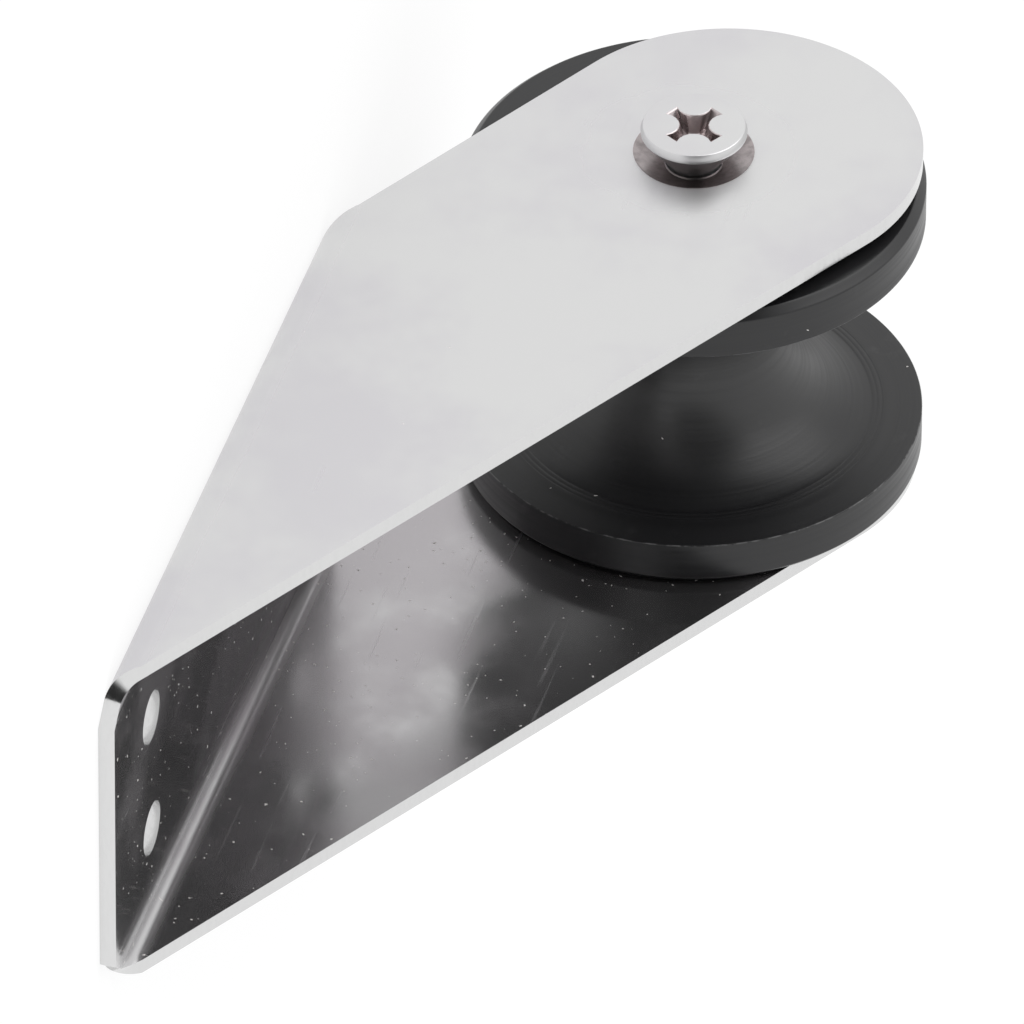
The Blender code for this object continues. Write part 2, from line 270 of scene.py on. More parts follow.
def round_edges(bm, width, segments, sharper_than=math.radians(25.0), chosen=None):
    """Round every edge that turns by more than an angle."""
    edges = []
    for edge in bm.edges:
        if len(edge.link_faces) != 2 or edge.calc_face_angle() < sharper_than:
            continue
        if chosen is None or chosen(edge):
            edges.append(edge)
    bmesh.ops.bevel(
        bm, geom=edges, offset=width, segments=segments, profile=0.5,
        affect="EDGES", material=-1, clamp_overlap=True,
    )
    smooth_all(bm)


def off_axle(point):
    return math.hypot(point.x - AXLE.x, point.z - AXLE.z)


def at_axle(radius, height):
    return Vector((AXLE.x + radius, height, AXLE.z))


def chain(bm, points, closed=False):
    """Vertices joined by edges through (radius, height) points beside the axle."""
    verts = [bm.verts.new(at_axle(radius, height)) for radius, height in points]
    for first, second in zip(verts, verts[1:]):
        bm.edges.new((first, second))
    if closed:
        bm.edges.new((verts[-1], verts[0]))


def turn(bm, steps):
    """Spin every edge once round the axle and close the seam."""
    bmesh.ops.spin(
        bm, geom=bm.verts[:] + bm.edges[:], cent=AXLE, axis=ALONG_AXLE,
        dvec=(0.0, 0.0, 0.0), angle=FULL_TURN, steps=steps, use_merge=True, use_duplicate=False,
    )
    clean(bm)


def sink_loop(bm, edges, scale, drop):
    """Extrude a loop of edges down the axle with a taper, and return the new loop."""
    made = bmesh.ops.extrude_edge_only(bm, edges=edges)["geom"]
    verts = [item for item in made if isinstance(item, bmesh.types.BMVert)]
    about = Matrix.Translation(-AXLE)
    bmesh.ops.scale(bm, vec=(scale, 1.0, scale), space=about, verts=verts)
    bmesh.ops.translate(bm, vec=(0.0, -drop, 0.0), verts=verts)
    return [item for item in made if isinstance(item, bmesh.types.BMEdge) and item.is_boundary]


# Shader helpers and shared effects


class Nodes:
    """Short calls for adding and joining shader nodes in one tree."""

    def __init__(self, tree):
        self.tree = tree

    def add(self, kind, **settings):
        node = self.tree.nodes.new(kind)
        for name, value in settings.items():
            setattr(node, name, value)
        return node

    def join(self, source, target):
        self.tree.links.new(source, target)

    def feed(self, socket, value):
        """Join a socket to another one, or give it a plain value."""
        if isinstance(value, bpy.types.NodeSocket):
            self.join(value, socket)
        else:
            socket.default_value = value

    def place(self):
        """The object's own coordinates."""
        return self.add("ShaderNodeTexCoord").outputs["Object"]

    def split(self, vector):
        node = self.add("ShaderNodeSeparateXYZ")
        self.join(vector, node.inputs[0])
        return node

    def maths(self, operation, first, second=0.0, clamp=False):
        node = self.add("ShaderNodeMath", operation=operation, use_clamp=clamp)
        self.feed(node.inputs[0], first)
        self.feed(node.inputs[1], second)
        return node.outputs[0]

    def more(self, base, extra, share):
        """Add a share of one value to another."""
        return self.maths("ADD", base, self.maths("MULTIPLY", extra, share))

    def spread(self, value, low, high, to_low=0.0, to_high=1.0):
        """Map a value from one range to another, with soft ends."""
        node = self.add("ShaderNodeMapRange", interpolation_type="SMOOTHSTEP")
        self.feed(node.inputs["Value"], value)
        ends = {"From Min": low, "From Max": high, "To Min": to_low, "To Max": to_high}
        for name, end in ends.items():
            self.feed(node.inputs[name], end)
        return node.outputs["Result"]

    def mix(self, mask, first, second):
        node = self.add("ShaderNodeMix", data_type="RGBA")
        self.feed(node.inputs["Factor"], mask)
        self.feed(node.inputs["A"], first)
        self.feed(node.inputs["B"], second)
        return node.outputs["Result"]

    def noise(self, vector, scale, detail=3.0, roughness=0.5):
        node = self.add("ShaderNodeTexNoise")
        self.feed(node.inputs["Vector"], vector)
        self.feed(node.inputs["Scale"], scale)
        self.feed(node.inputs["Detail"], detail)
        self.feed(node.inputs["Roughness"], roughness)
        return node.outputs["Fac"]

    def mapped(self, vector, scale=(1.0, 1.0, 1.0), location=(0.0, 0.0, 0.0), rotation=(0.0, 0.0, 0.0)):
        node = self.add("ShaderNodeMapping")
        self.feed(node.inputs["Vector"], vector)
        node.inputs["Location"].default_value = location
        node.inputs["Rotation"].default_value = rotation
        node.inputs["Scale"].default_value = scale
        return node.outputs["Vector"]

    def bump(self, height, strength, distance):
        node = self.add("ShaderNodeBump")
        self.feed(node.inputs["Height"], height)
        node.inputs["Strength"].default_value = strength
        node.inputs["Distance"].default_value = distance
        return node.outputs["Normal"]


def start_group(name, inputs, outputs):
    """An effect group fed by a vector and numbers. Returns its nodes, input node and output node."""
    group = bpy.data.node_groups.new(name, "ShaderNodeTree")
    group.interface.new_socket(name="Vector", in_out="INPUT", socket_type="NodeSocketVector")
    for label, default in inputs.items():
        socket = group.interface.new_socket(name=label, in_out="INPUT", socket_type="NodeSocketFloat")
        socket.default_value = default
    for label in outputs:
        group.interface.new_socket(name=label, in_out="OUTPUT", socket_type="NodeSocketFloat")
    nodes = Nodes(group)
    return nodes, nodes.add("NodeGroupInput"), nodes.add("NodeGroupOutput")


def polish_marks_group():
    """Slow clouds and hairline scratches left by a polishing wheel."""
    inputs = {"Cloud Scale": 26.0, "Scratch Scale": 900.0}
    nodes, source, target = start_group("Polish Marks", inputs, ("Clouds", "Scratches"))
    vector = source.outputs["Vector"]
    broad = nodes.noise(vector, source.outputs["Cloud Scale"], 4.0, 0.62)
    nodes.join(nodes.spread(broad, 0.38, 0.66), target.inputs["Clouds"])
    lines = None
    for heading in (0.5, 1.2, 2.3):
        stretched = nodes.mapped(vector, scale=(0.035, 1.0, 1.0), rotation=(0.0, heading, heading))
        fine = nodes.noise(stretched, source.outputs["Scratch Scale"], 2.0, 0.4)
        hair = nodes.spread(fine, 0.69, 0.76)
        lines = hair if lines is None else nodes.maths("MAXIMUM", lines, hair)
    nodes.join(lines, target.inputs["Scratches"])
    return nodes.tree


def dust_group():
    """Sparse specks and short hairs of dust, spread over the web and the cheeks alike."""
    inputs = {"Scale": 420.0, "Amount": 0.3}
    nodes, source, target = start_group("Dust Specks", inputs, ("Mask",))
    split = nodes.split(source.outputs["Vector"])
    flat = nodes.add("ShaderNodeCombineXYZ")
    nodes.join(split.outputs["X"], flat.inputs["X"])
    nodes.join(nodes.maths("ADD", split.outputs["Y"], split.outputs["Z"]), flat.inputs["Y"])
    wobble = nodes.add("ShaderNodeTexNoise")
    nodes.join(flat.outputs[0], wobble.inputs["Vector"])
    wobble.inputs["Scale"].default_value = 900.0
    shifted = nodes.add("ShaderNodeVectorMath", operation="MULTIPLY_ADD")
    nodes.join(wobble.outputs["Color"], shifted.inputs[0])
    shifted.inputs[1].default_value = (0.0010, 0.0010, 0.0)
    nodes.join(flat.outputs[0], shifted.inputs[2])
    crowd = nodes.spread(nodes.noise(flat.outputs[0], 55.0, 2.0), 0.35, 0.65, 0.25, 1.0)
    mask = None
    for scale, amount, small, large in ((1.0, 1.0, 0.02, 0.075), (2.3, 0.35, 0.03, 0.10)):
        cells = nodes.add("ShaderNodeTexVoronoi", voronoi_dimensions="2D")
        nodes.join(shifted.outputs[0], cells.inputs["Vector"])
        nodes.join(nodes.maths("MULTIPLY", source.outputs["Scale"], scale), cells.inputs["Scale"])
        tint = nodes.add("ShaderNodeSeparateColor")
        nodes.join(cells.outputs["Color"], tint.inputs["Color"])
        share = nodes.maths("MULTIPLY", source.outputs["Amount"], amount)
        chosen = nodes.maths("LESS_THAN", tint.outputs["Red"], nodes.maths("MULTIPLY", share, crowd))
        size = nodes.spread(tint.outputs["Green"], 0.0, 1.0, small, large)
        inside = nodes.maths("LESS_THAN", cells.outputs["Distance"], size)
        speck = nodes.maths("MULTIPLY", chosen, inside)
        mask = speck if mask is None else nodes.maths("MAXIMUM", mask, speck)
    nodes.join(mask, target.inputs["Mask"])
    return nodes.tree


def turned_lines_group():
    """Fine rings about the axle, as a lathe tool leaves them."""
    outputs = ("Lines", "Radius", "Across")
    nodes, source, target = start_group("Turned Lines", {"Scale": 2200.0}, outputs)
    centred = nodes.mapped(source.outputs["Vector"], location=(-AXLE.x, -ROLLER_MIDDLE, -AXLE.z))
    split = nodes.split(centred)
    squares = nodes.maths("POWER", split.outputs["X"], 2.0)
    squares = nodes.maths("ADD", squares, nodes.maths("POWER", split.outputs["Z"], 2.0))
    radius = nodes.maths("SQRT", squares)
    across = nodes.maths("ABSOLUTE", split.outputs["Y"])
    place = nodes.add("ShaderNodeCombineXYZ")
    nodes.join(radius, place.inputs["X"])
    nodes.join(split.outputs["Y"], place.inputs["Y"])
    lines = nodes.noise(place.outputs[0], source.outputs["Scale"], 3.0, 0.6)
    nodes.join(lines, target.inputs["Lines"])
    nodes.join(radius, target.inputs["Radius"])
    nodes.join(across, target.inputs["Across"])
    return nodes.tree


def effect(nodes, group, **values):
    """Place a shared effect on the object's own coordinates and set its inputs."""
    node = nodes.add("ShaderNodeGroup")
    node.node_tree = group
    nodes.join(nodes.place(), node.inputs["Vector"])
    for name, value in values.items():
        node.inputs[name.replace("_", " ")].default_value = value
    return node


def shared(name, maker):
    return bpy.data.node_groups.get(name) or maker()


def start_material(name):
    material = bpy.data.materials.new(name)
    material.use_nodes = True
    return Nodes(material.node_tree), material.node_tree.nodes["Principled BSDF"]


def opaque(rgb):
    return (rgb[0], rgb[1], rgb[2], 1.0)


def polished_sheet(name, clear, cloudy, dust_colour, dust_amount, finish):
    """Mirror-polished sheet with faint clouds, hairlines, dust and a thin film that dulls it."""
    gloss, film, ripple = finish
    nodes, shader = start_material(name)
    marks = effect(nodes, shared("Polish Marks", polish_marks_group))
    dust = effect(nodes, shared("Dust Specks", dust_group), Amount=dust_amount)
    clouds = marks.outputs["Clouds"]
    speck = dust.outputs["Mask"]
    metal = nodes.mix(clouds, opaque(clear), opaque(cloudy))
    nodes.join(nodes.mix(speck, metal, opaque(dust_colour)), shader.inputs["Base Color"])
    rough = nodes.spread(clouds, 0.0, 1.0, *gloss)
    rough = nodes.more(rough, marks.outputs["Scratches"], SCRATCH_ROUGHNESS)
    rough = nodes.more(rough, speck, SPECK_ROUGHNESS)
    place = nodes.place()
    split = nodes.split(place)
    haze = nodes.spread(split.outputs["X"], FILM_REAR, FILM_NOSE, *film)
    haze = nodes.maths("MULTIPLY", haze, nodes.spread(clouds, 0.0, 1.0, 0.7, 1.0))
    bare = nodes.maths("SUBTRACT", 1.0, haze)
    across = nodes.maths("ABSOLUTE", split.outputs["Y"])
    band = nodes.spread(across, BEND_SIDE - BAND_FADE, BEND_SIDE)
    low_down = nodes.spread(split.outputs["Z"], BEND_RADIUS + BAND_FADE, BEND_RADIUS)
    rough = nodes.more(rough, nodes.maths("MULTIPLY", band, low_down), BAND_ROUGHNESS)
    rough = nodes.more(rough, haze, FILM_ROUGHNESS)
    centred = nodes.mapped(place, scale=(1.0, 0.0, 1.0), location=(-AXLE.x, 0.0, -AXLE.z))
    reach = nodes.add("ShaderNodeVectorMath", operation="LENGTH")
    nodes.join(centred, reach.inputs[0])
    dull = nodes.spread(reach.outputs["Value"], DULL_OUTER, DULL_INNER, 0.0, DULL_ROUGHNESS)
    rough = nodes.maths("ADD", rough, dull, clamp=True)
    nodes.join(rough, shader.inputs["Roughness"])
    bare = nodes.maths("MULTIPLY", bare, nodes.maths("SUBTRACT", 1.0, speck))
    nodes.join(bare, shader.inputs["Metallic"])
    wave = nodes.noise(place, 45.0, 2.0, 0.4)
    scratch = nodes.maths("MULTIPLY", marks.outputs["Scratches"], -0.004)
    height = nodes.maths("ADD", wave, scratch)
    nodes.join(nodes.bump(height, ripple, RIPPLE_HEIGHT), shader.inputs["Normal"])


def two_tone(nodes, shader, tone, full, share):
    """Colour a surface between its full colour and a darker share of it."""
    darker = opaque([value * share for value in full])
    nodes.join(nodes.mix(tone, opaque(full), darker), shader.inputs["Base Color"])


def pressed_steel(name, steel, finish):
    """Satin steel of the punched recess and the pressed dishes, with slow streaks. The colours it is given
    are darker copies of the polished steel: painted shade in the recess, and painted shade with a painted
    reflection of the screw head's dark underside in the dishes.
    """
    nodes, shader = start_material(name)
    marks = effect(nodes, shared("Polish Marks", polish_marks_group), Cloud_Scale=400.0)
    clouds = marks.outputs["Clouds"]
    two_tone(nodes, shader, clouds, steel, 0.7)
    nodes.join(nodes.spread(clouds, 0.0, 1.0, *finish), shader.inputs["Roughness"])
    shader.inputs["Metallic"].default_value = 1.0


def cut_edge(colours):
    """Cut edge of the sheet: satin, with short tool lines through the thickness."""
    nodes, shader = start_material("cut_edge")
    stretched = nodes.mapped(nodes.place(), scale=(1.0, 0.25, 1.0))
    grain = nodes.noise(stretched, 1500.0, 3.0, 0.5)
    tone = nodes.spread(grain, 0.3, 0.75)
    two_tone(nodes, shader, tone, colours.cut_steel, 0.98)
    nodes.join(nodes.spread(grain, 0.3, 0.7, 0.12, 0.18), shader.inputs["Roughness"])
    shader.inputs["Metallic"].default_value = 1.0
    nodes.join(nodes.bump(grain, 0.06, 0.00001), shader.inputs["Normal"])


def plain_steel(colours):
    """Turned or rolled stainless steel of the small fastenings."""
    nodes, shader = start_material("plain_steel")
    lines = effect(nodes, shared("Turned Lines", turned_lines_group), Scale=5200.0)
    marks = effect(nodes, shared("Polish Marks", polish_marks_group))
    tone = nodes.spread(lines.outputs["Lines"], 0.3, 0.7)
    two_tone(nodes, shader, tone, colours.plain_steel, 0.85)
    nodes.join(nodes.spread(marks.outputs["Clouds"], 0.0, 1.0, 0.16, 0.28), shader.inputs["Roughness"])
    shader.inputs["Metallic"].default_value = 1.0
    nodes.join(nodes.bump(lines.outputs["Lines"], 0.2, 0.00002), shader.inputs["Normal"])


def turned_nylon(colours, rim_edge):
    """Black nylon with lathe rings, scuffs, dust, a pale burr on the inner edge of each rim, and a painted
    sheen that lightens the groove towards the waist.
    """
    nodes, shader = start_material("turned_nylon")
    lines = effect(nodes, shared("Turned Lines", turned_lines_group), Scale=1500.0)
    dust = effect(nodes, shared("Dust Specks", dust_group), Amount=0.05, Scale=260.0)
    place = nodes.place()
    patches = nodes.spread(nodes.noise(place, 140.0, 5.0, 0.65), 0.60, 0.78)
    off_edge = nodes.maths("ABSOLUTE", nodes.maths("SUBTRACT", lines.outputs["Across"], rim_edge))
    off_rim = nodes.maths("SUBTRACT", ROLLER_REACH, lines.outputs["Radius"])
    near = nodes.maths("ADD", off_edge, nodes.maths("MAXIMUM", off_rim, 0.0))
    burr = nodes.spread(near, 0.00022, 0.00005)
    broken = nodes.spread(nodes.noise(place, 420.0, 3.0, 0.6), 0.42, 0.6)
    burr = nodes.maths("MULTIPLY", burr, broken)
    # Painted sheen: the colour grows lighter towards the waist, standing for the soft highlights along the
    # groove.
    waist_sheen = nodes.spread(lines.outputs["Radius"], 0.0245, 0.0150, 0.0, 0.2)
    scuff_and_sheen = nodes.maths("ADD", nodes.maths("MULTIPLY", patches, 0.12), waist_sheen)
    scuff_and_sheen = nodes.maths("MAXIMUM", scuff_and_sheen, burr)
    base = nodes.mix(scuff_and_sheen, opaque(colours.nylon), opaque(colours.nylon_scuff_and_sheen))
    nodes.join(nodes.mix(dust.outputs["Mask"], base, opaque(colours.dust)), shader.inputs["Base Color"])
    rough = nodes.spread(lines.outputs["Lines"], 0.25, 0.75, 0.29, 0.42)
    rough = nodes.more(rough, patches, 0.08)
    nodes.join(rough, shader.inputs["Roughness"])
    nodes.join(nodes.bump(lines.outputs["Lines"], 0.35, 0.00004), shader.inputs["Normal"])


def ring_nylon(colours):
    """Pale nylon of the locking ring."""
    nodes, shader = start_material("ring_nylon")
    lines = effect(nodes, shared("Turned Lines", turned_lines_group), Scale=3000.0)
    two_tone(nodes, shader, lines.outputs["Lines"], colours.ring, 0.9)
    nodes.join(nodes.spread(lines.outputs["Lines"], 0.3, 0.7, 0.4, 0.55), shader.inputs["Roughness"])


class MakeFinishes(bpy.types.Operator):
    """Build the shared effects and every material"""

    bl_idname = "bow_roller.make_finishes"
    bl_label = "Finishes"

    def execute(self, context):
        colours = context.scene.bow_roller_colours
        roller = context.scene.bow_roller_roller
        dust, steel, cloud = colours.dust, colours.steel, colours.steel_cloud
        polished_sheet("polished_outside", steel, cloud, dust, OUTSIDE_DUST, OUTSIDE_FINISH)
        # The inner faces' steel colours are darker copies of the outside's: painted shade between the
        # cheeks.
        inner, inner_cloud_painted_shade = colours.inner_steel_painted_shade, colours.inner_cloud_painted_shade
        polished_sheet("polished_inside", inner, inner_cloud_painted_shade, dust, INSIDE_DUST, INSIDE_FINISH)
        polished_sheet("polished_screw", steel, cloud, dust, SCREW_DUST, SCREW_FINISH)
        # Painted shade inside the cross recess.
        pressed_steel("recess_steel_painted_shade", colours.recess_steel_painted_shade, (0.26, 0.38))
        # Painted shade and painted reflection of the screw head's underside in the dishes.
        pressed_steel("dish_steel_painted_shade", colours.dish_steel_painted_shade, (0.14, 0.26))
        cut_edge(colours)
        plain_steel(colours)
        turned_nylon(colours, ROLLER_HALF - roller.rim_width)
        ring_nylon(colours)
        return {"FINISHED"}


# Bracket


class Fold:
    """Places on the flat sheet and on the folded bracket."""

    def __init__(self, sizes):
        self.half = BRACKET_HIGH.y
        self.bend = sizes.bend_radius
        self.web = self.half - sizes.bend_radius
        self.bend_length = sizes.bend_neutral * math.pi / 2
        self.end = self.web + self.bend_length
        self.rear = BRACKET_LOW.x
        self.lower_rise = math.tan(sizes.lower_angle)
        self.upper_rise = math.tan(sizes.upper_angle)
        self.nose = self.flat(BRACKET_HIGH.x - sizes.nose_radius, BRACKET_HIGH.z - sizes.nose_radius)
        self.axle = self.flat(AXLE.x, AXLE.z)

    def flat(self, x, height):
        """A point of the upright cheek laid out flat beside the web."""
        return Vector((x, height + self.end - self.bend, 0.0))

    def folded(self, point):
        side = math.copysign(1.0, point.y)
        across = abs(point.y)
        if across <= self.web:
            return Vector((point.x, point.y, 0.0))
        if across >= self.end:
            return Vector((point.x, side * self.half, across - self.end + self.bend))
        turned = (across - self.web) / self.bend_length * math.pi / 2
        out = self.web + self.bend * math.sin(turned)
        return Vector((point.x, side * out, self.bend * (1 - math.cos(turned))))


def draw_outline(bm, sizes, fold):
    """One half of the flat outline, round the nose by a spin, then mirrored across the web."""
    lower_normal = Vector((math.sin(sizes.lower_angle), -math.cos(sizes.lower_angle), 0.0))
    start = bm.verts.new(fold.nose + lower_normal * sizes.nose_radius)
    arc = bmesh.ops.spin(
        bm, geom=[start], cent=fold.nose, axis=(0.0, 0.0, 1.0), dvec=(0.0, 0.0, 0.0),
        angle=math.pi + sizes.upper_angle - sizes.lower_angle, steps=sizes.nose_steps, use_duplicate=False,
    )
    upper = next(item for item in arc["geom_last"] if isinstance(item, bmesh.types.BMVert))
    front_x = start.co.x - (start.co.y - fold.web) / fold.lower_rise
    bend_x = upper.co.x - (upper.co.y - fold.end) / fold.upper_rise
    rearwards = ((bend_x, fold.end), (fold.rear, sizes.rear_corner), (fold.rear, 0.0))
    before = upper
    for x, across in rearwards:
        after = bm.verts.new((x, across, 0.0))
        bm.edges.new((before, after))
        before = after
    before = start
    for across in (fold.web, 0.0):
        after = bm.verts.new((front_x, across, 0.0))
        bm.edges.new((before, after))
        before = after
    geometry = bm.verts[:] + bm.edges[:]
    bmesh.ops.mirror(bm, geom=geometry, matrix=Matrix.Identity(4), merge_dist=MERGE, axis="Y")
    return front_x


def draw_openings(bm, sizes, fold, front_x):
    for x in (fold.rear + sizes.hole_inset, front_x - sizes.hole_inset):
        for side in (-1, 1):
            place = Matrix.Translation((x, side * sizes.hole_side, 0.0))
            bmesh.ops.create_circle(bm, segments=64, radius=sizes.hole_radius, matrix=place)
    for side in (-1, 1):
        place = Matrix.Translation((fold.axle.x, side * fold.axle.y, 0.0))
        radius = sizes.dish_radius + sizes.dish_round
        bmesh.ops.create_circle(bm, segments=96, radius=radius, matrix=place)


def press_dish(bm, sizes, side):
    """Draw one axle opening inwards round a soft rim and down a cone to the axle hole."""
    centre = Vector((AXLE.x, side * BRACKET_HIGH.y, AXLE.z))
    radius, depth = sizes.dish_radius + sizes.dish_round, 0.0
    rim = []
    for edge in bm.edges:
        middle = (edge.verts[0].co + edge.verts[1].co) / 2
        if edge.is_boundary and (middle - centre).length < radius * 1.05:
            rim.append(edge)
    slope = sizes.dish_depth / (sizes.dish_radius - sizes.axle_hole)
    stations = []
    for step in range(1, 9):
        inwards = 2 * sizes.dish_round * step / 8
        stations.append((radius - inwards, slope * inwards ** 2 / (4 * sizes.dish_round)))
    for share in (0.7, 0.3, 0.08, 0.0):
        stage_radius = sizes.axle_hole + (sizes.dish_radius - sizes.axle_hole) * share
        stations.append((stage_radius, sizes.dish_depth * (1 - share)))
    for next_radius, next_depth in stations:
        rim = sink_loop(bm, rim, next_radius / radius, side * (next_depth - depth))
        radius, depth = next_radius, next_depth


def bisect_bends(bm, sizes, fold):
    for step in range(sizes.bend_steps + 1):
        for side in (-1, 1):
            line = (0.0, side * (fold.web + fold.bend_length * step / sizes.bend_steps), 0.0)
            geometry = bm.verts[:] + bm.edges[:] + bm.faces[:]
            bmesh.ops.bisect_plane(bm, geom=geometry, plane_co=line, plane_no=ALONG_AXLE, dist=MERGE / 10)


class MakeBracket(bpy.types.Operator):
    """Fold the polished sheet bracket with its pressed dishes, holes and rounded edges"""

    bl_idname = "bow_roller.make_bracket"
    bl_label = "Bracket"

    def execute(self, context):
        sizes = context.scene.bow_roller_bracket
        fold = Fold(sizes)
        bm = bmesh.new()
        front_x = draw_outline(bm, sizes, fold)
        draw_openings(bm, sizes, fold, front_x)
        bmesh.ops.triangle_fill(bm, edges=bm.edges[:], use_beauty=True, normal=(0.0, 0.0, -1.0))
        bisect_bends(bm, sizes, fold)
        for vert in bm.verts:
            vert.co = fold.folded(vert.co)
        for side in (-1, 1):
            press_dish(bm, sizes, side)
        for face in bm.faces:
            near = off_axle(face.calc_center_median()) < sizes.dish_radius
            face.material_index = DISH_SLOT if near else 0
        bmesh.ops.remove_doubles(bm, verts=bm.verts, dist=MERGE / 10)
        bmesh.ops.recalc_face_normals(bm, faces=bm.faces)
        lowest = min(bm.faces, key=lambda face: face.calc_center_median().z)
        if lowest.normal.z > 0:
            bmesh.ops.reverse_faces(bm, faces=bm.faces)
        smooth_all(bm)
        piece = link_piece("bracket_sheet", bm, BRACKET_FINISHES, "bracket", "polished_steel", "bracket")
        sheet = piece.modifiers.new("Sheet", "SOLIDIFY")
        sheet.thickness = sizes.sheet
        sheet.offset = -1.0
        sheet.use_even_offset = True
        sheet.use_quality_normals = True
        sheet.material_offset = 2
        sheet.material_offset_rim = 1
        rounding = piece.modifiers.new("Edges", "BEVEL")
        rounding.width = sizes.edge_round
        rounding.segments = 3
        rounding.limit_method = "ANGLE"
        rounding.angle_limit = math.radians(50.0)
        weigh_normals(piece)
        return {"FINISHED"}


# Roller


def groove_arc(sizes, steps):
    """The groove from crease to crease, an arc whose smallest radius is the waist."""
    depth = ROLLER_HALF - sizes.rim_width - sizes.crease_depth
    rise = sizes.crease_radius - sizes.waist_radius
    radius = (rise * rise + depth * depth) / (2 * rise)
    sweep = math.asin(depth / radius)
    points = []
    for step in range(steps + 1):
        turned = sweep * (1 - 2 * step / steps)
        points.append((sizes.waist_radius + radius * (1 - math.cos(turned)), radius * math.sin(turned)))
    return points


def flange_profile(sizes):
    """From the bore's upper end round one flange to just before the crease."""
    outer, reach = ROLLER_HALF, ROLLER_REACH
    rim = outer - sizes.rim_width
    sunk = outer - sizes.counterbore_depth
    points = [
        (sizes.bore_radius, sunk),
        (sizes.counterbore_radius, sunk),
        (sizes.counterbore_radius, outer),
        (reach - sizes.rim_chamfer, outer),
        (reach, outer - sizes.rim_chamfer),
        (reach, rim),
    ]
    for ridge in range(3):
        radius = sizes.crease_radius + 0.0022 - 0.0008 * ridge
        lean = sizes.crease_depth * (reach - radius) / (reach - sizes.crease_radius)
        for offset, lift in ((0.00018, 0.0), (0.0, -sizes.ridge_height), (-0.00018, 0.0)):
            points.append((radius + offset, rim - lean - lift))
    return points


class MakeRoller(bpy.types.Operator):
    """Turn the nylon roller with its two flanges and arc groove"""

    bl_idname = "bow_roller.make_roller"
    bl_label = "Roller"

    def execute(self, context):
        sizes = context.scene.bow_roller_roller
        upper = flange_profile(sizes)
        lower = [(radius, -height) for radius, height in reversed(upper)]
        bm = bmesh.new()
        chain(bm, upper + groove_arc(sizes, 48) + lower, closed=True)
        bmesh.ops.translate(bm, vec=(0.0, ROLLER_MIDDLE, 0.0), verts=bm.verts)
        turn(bm, sizes.turn_steps)
        round_edges(bm, sizes.edge_round, 3)
        weigh_normals(link_piece("spool_roller", bm, ["turned_nylon"], "roller", "black_nylon", "roller"))
        return {"FINISHED"}


# Axle


def cross_outline(bm, sizes, height):
    """Outline of the cross recess: four blunt wings joined by arcs that bulge to the middle."""
    reach, tip = sizes.recess_reach, sizes.recess_tip
    centre = reach * 0.735
    radius = math.hypot(reach - centre, tip - centre)
    verts = []
    turned = bpy.context.scene.bow_roller_bracket.upper_angle
    for wing in range(4):
        heading = wing * math.pi / 2
        start = math.atan2(tip - centre, reach - centre)
        stop = math.atan2(reach - centre, tip - centre)
        if stop > start:
            stop -= FULL_TURN
        for step in range(9):
            bearing = start + (stop - start) * step / 8
            x = centre + radius * math.cos(bearing)
            z = centre + radius * math.sin(bearing)
            spot = Matrix.Rotation(heading + turned, 2) @ Vector((x, z))
            verts.append(bm.verts.new((AXLE.x + spot.x, height, AXLE.z + spot.y)))
    edges = []
    for first, second in zip(verts, verts[1:] + verts[:1]):
        edges.append(bm.edges.new((first, second)))
    return edges


def in_mouth(edge, sizes):
    """Whether an edge runs round the mouth of the cross recess."""
    return all(
        abs(vert.co.y - SCREW_HIGH.y) < 1e-5 and off_axle(vert.co) < sizes.recess_reach * 1.1
        for vert in edge.verts
    )


def in_recess(point, sizes):
    """Whether a point lies on the walls or the floor of the cross recess."""
    floor = SCREW_HIGH.y - sizes.recess_depth * 1.1
    return floor < point.y < SCREW_HIGH.y - 1e-5 and off_axle(point) < sizes.recess_reach


class MakeScrew(bpy.types.Operator):
    """Make the axle screw: flat bevelled head, cross recess, shank and thread"""

    bl_idname = "bow_roller.make_screw"
    bl_label = "Axle Screw"

    def execute(self, context):
        sizes = context.scene.bow_roller_axle
        top, end = SCREW_HIGH.y, SCREW_LOW.y
        bracket = context.scene.bow_roller_bracket
        seat = BRACKET_HIGH.y - bracket.dish_depth + sizes.head_clearance
        land = top - sizes.head_bevel
        core = sizes.shank_radius - sizes.thread_depth
        thread_start = end + sizes.thread_pitch * (sizes.thread_turns + 1)
        bm = bmesh.new()
        profile = [
            (sizes.head_flat, top),
            (sizes.head_flat + 0.00018, top - 0.00012),
            (sizes.head_radius, land),
            (sizes.head_radius, land - sizes.head_land),
            (sizes.shank_radius, seat),
            (sizes.shank_radius, thread_start),
            (core, thread_start - sizes.thread_depth),
            (core, end + 0.0004),
            (core - 0.0004, end),
            (0.0, end),
        ]
        chain(bm, profile)
        turn(bm, sizes.turn_steps)
        rim = [edge for edge in bm.edges if edge.is_boundary]
        cross = cross_outline(bm, sizes, top)
        bmesh.ops.triangle_fill(bm, edges=rim + cross, use_beauty=True, normal=(0.0, 1.0, 0.0))
        loop = sink_loop(bm, cross, 0.62, sizes.recess_depth - 0.00035)
        loop = sink_loop(bm, loop, 0.35, 0.00035)
        bmesh.ops.contextual_create(bm, geom=loop)
        clean(bm)
        for face in bm.faces:
            face.material_index = int(in_recess(face.calc_center_median(), sizes))
        round_edges(bm, sizes.recess_round, 3, SHARP_CORNER, lambda edge: in_mouth(edge, sizes))
        round_edges(bm, FINE_ROUND, 2, SHARP_CORNER)
        add_thread(bm, sizes, core, end)
        materials = ("polished_screw", "recess_steel_painted_shade")
        weigh_normals(link_piece("pan_screw", bm, materials, "bracket", "polished_steel", "axle_screw"))
        return {"FINISHED"}


